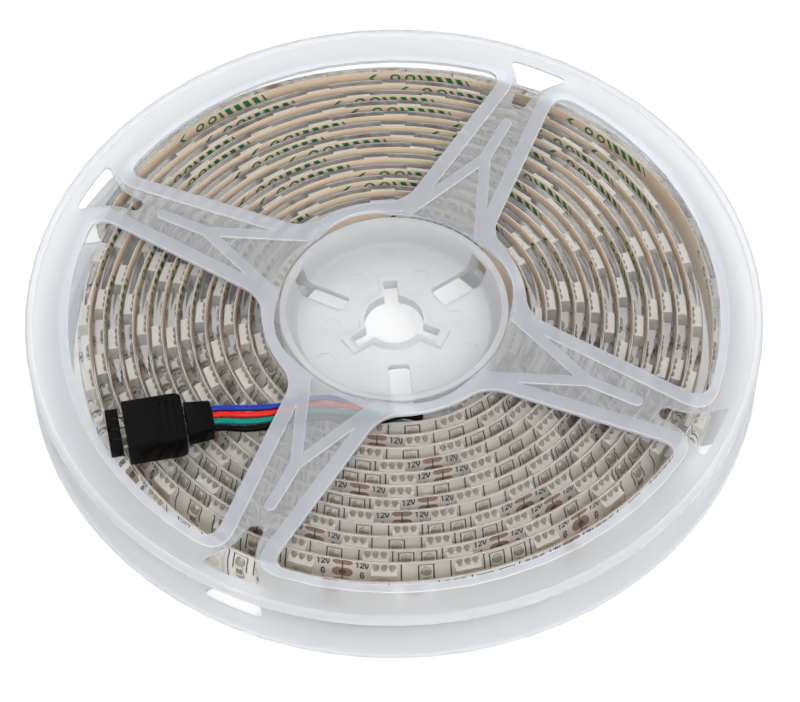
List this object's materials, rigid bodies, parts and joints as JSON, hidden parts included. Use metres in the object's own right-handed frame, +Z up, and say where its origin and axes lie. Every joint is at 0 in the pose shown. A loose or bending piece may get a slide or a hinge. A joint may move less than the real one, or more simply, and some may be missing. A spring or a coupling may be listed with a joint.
{
  "type": "led strip light reel",
  "caption": "Flat reel of silicone-coated LED strip light with frosted windowed flanges, a cup hub and a wired socket lead.",
  "frame": {"origin": "on the reel's axis, in the plane of the lower flange's rim that it lies on", "axes": "+Z up along the reel's axis, +Y away from the camera in the picture, +X to its right"},
  "size_m": [0.154, 0.154, 0.0176],
  "materials": {
    "frosted_flange": "frosted, translucent",
    "coated_strip": "clear satin coating over a white flexible board",
    "liner": "waxed paper, satin",
    "clear_sleeve": "clear gloss",
    "wire_blue": "soft gloss",
    "wire_red": "soft gloss",
    "wire_green": "soft gloss",
    "wire_black": "soft gloss",
    "black_housing": "satin",
    "plated_pin": "bright plated"
  },
  "bodies": {
    "root": {"bottom_flange": "frosted_flange", "top_flange": "frosted_flange", "led_strip_roll": "coated_strip", "release_liner": "liner", "solder_sleeve": "clear_sleeve", "wire_blue": "wire_blue", "wire_red": "wire_red", "wire_green": "wire_green", "wire_black": "wire_black", "socket_body": "black_housing", "socket_boot": "black_housing", "header_block": "black_housing", "header_pin_1": "plated_pin", "header_pin_2": "plated_pin", "header_pin_3": "plated_pin", "header_pin_4": "plated_pin"}
  },
  "joints": []
}
